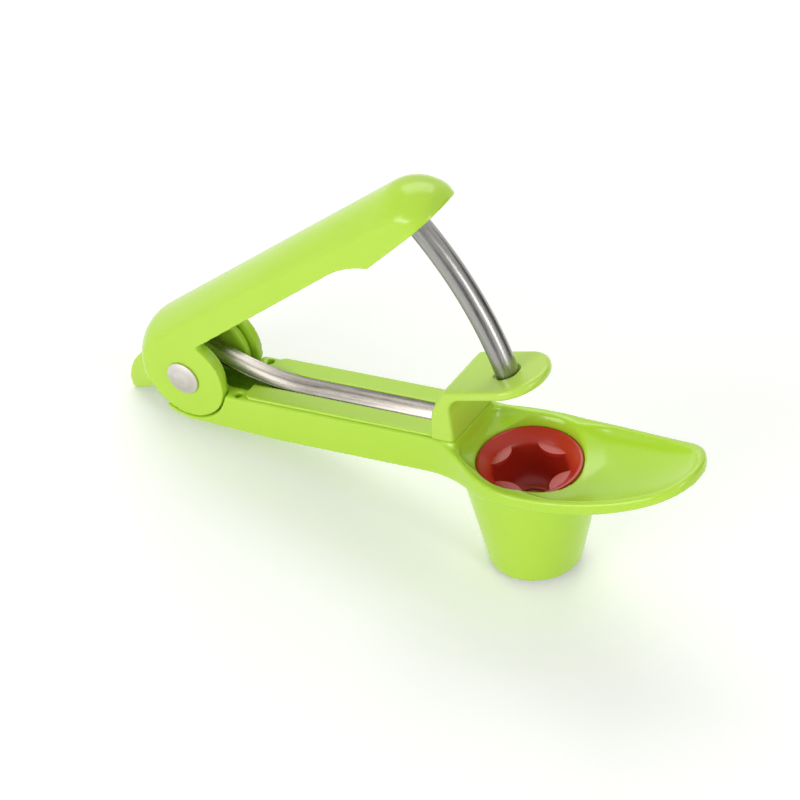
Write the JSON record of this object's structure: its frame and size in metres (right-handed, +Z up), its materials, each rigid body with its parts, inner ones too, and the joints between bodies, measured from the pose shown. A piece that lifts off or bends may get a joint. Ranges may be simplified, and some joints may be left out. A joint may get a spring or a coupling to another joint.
{
  "type": "cherry pitter",
  "caption": "Hand-held lever tool: a hinged upper arm drives a curved rod through a guide into a silicone cherry cup set in a spoon-ended handle.",
  "frame": {"origin": "bottom centre of the tool's bounding box, as it rests on a table with the lever open", "axes": "+X from the hinge towards the spoon's tip, +Z up, +Y across the handle (the hinge axis is along Y)"},
  "size_m": [0.1988, 0.042, 0.127],
  "materials": {
    "green_plastic": "glossy",
    "green_plastic_deep": "glossy",
    "red_silicone": "satin",
    "polished_steel": "polished",
    "spring_steel": "satin",
    "pin_steel": "satin",
    "screw_steel": "satin"
  },
  "bodies": {
    "base": {"lower_body": "green_plastic", "rod_guide": "green_plastic_deep", "cherry_cup": "red_silicone", "leaf_spring": "spring_steel", "hinge_pin": "pin_steel", "hinge_pin_cap": "pin_steel", "guide_screw_front": "screw_steel", "guide_screw_near": "screw_steel", "guide_screw_far": "screw_steel"},
    "lever": {"upper_lever": "green_plastic", "pitting_rod": "polished_steel"},
    "lock": {"lock_slider": "green_plastic_deep"}
  },
  "joints": [
    {"name": "lever_hinge", "type": "hinge", "parent": "base", "child": "lever", "pos_m": [-0.07529, 0, 0.02011], "axis": [0, 1, 0], "range_deg": [0, 25], "stiffness_Nm_per_rad": 0.6, "springref_deg": -20.05, "deforming": ["leaf_spring"]},
    {"name": "lock_slide", "type": "slide", "parent": "base", "child": "lock", "axis": [0.9616, 0, 0.2743], "range_m": [0, 0.0039]}
  ]
}
